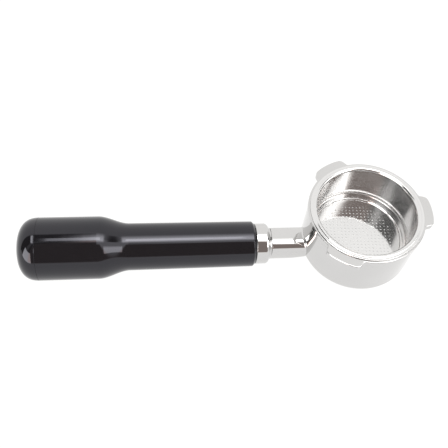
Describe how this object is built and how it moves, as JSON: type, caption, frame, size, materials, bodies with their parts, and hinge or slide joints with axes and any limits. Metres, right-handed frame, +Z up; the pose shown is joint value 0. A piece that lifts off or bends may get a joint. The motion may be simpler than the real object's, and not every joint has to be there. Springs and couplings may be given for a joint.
{
  "type": "portafilter",
  "caption": "Bottomless three-lug portafilter: polished steel holder ring with a lift-out filter basket, neck, collar and a glossy black screw-on handle.",
  "frame": {"origin": "centre of the filter basket floor's upper face, on the cup's axis", "axes": "+Z up the cup's axis, out of the basket's mouth; +X away from the handle; the front lug's middle lies 2.5 degrees from it, towards -Y; +Y to the left of someone who looks along +X"},
  "size_m": [0.2247, 0.0687, 0.0445],
  "materials": {
    "polished_steel": "mirror polished stainless steel",
    "basket_steel": "bright drawn stainless steel sheet",
    "spring_steel": "bright spring wire",
    "stud_steel": "machined steel",
    "brass": "machined brass",
    "black_plastic": "glossy moulded black",
    "rubber": "matt black"
  },
  "bodies": {
    "holder": {"holder_ring": "polished_steel", "neck_arm": "polished_steel", "neck_collar": "polished_steel", "handle_stud": "stud_steel"},
    "washer": {"handle_washer": "rubber"},
    "handle": {"grip_shell": "black_plastic", "thread_insert": "brass", "end_cap": "black_plastic", "end_cap_ring": "rubber"},
    "spring": {"basket_spring": "spring_steel"},
    "basket": {"filter_basket": "basket_steel"}
  },
  "joints": [
    {"name": "handle_unscrew", "type": "hinge", "parent": "holder", "child": "washer", "pos_m": [0, 0, -0.0068], "axis": [-0.9993, 0, 0.0384], "range_deg": [0, 4680]},
    {"name": "handle_travel", "type": "slide", "parent": "washer", "child": "handle", "axis": [-0.9993, 0, 0.0384], "range_m": [0, 0.0195]},
    {"name": "basket_turn", "type": "hinge", "parent": "holder", "child": "spring", "pos_m": [0, 0, 0], "axis": [0, 0, 1], "continuous": true},
    {"name": "basket_lift", "type": "slide", "parent": "spring", "child": "basket", "axis": [0, 0, 1], "range_m": [0, 0.04]}
  ],
  "couplings": [
    {"joint": "handle_unscrew", "follows": "handle_travel", "rad_per_m": 4188.8}
  ]
}
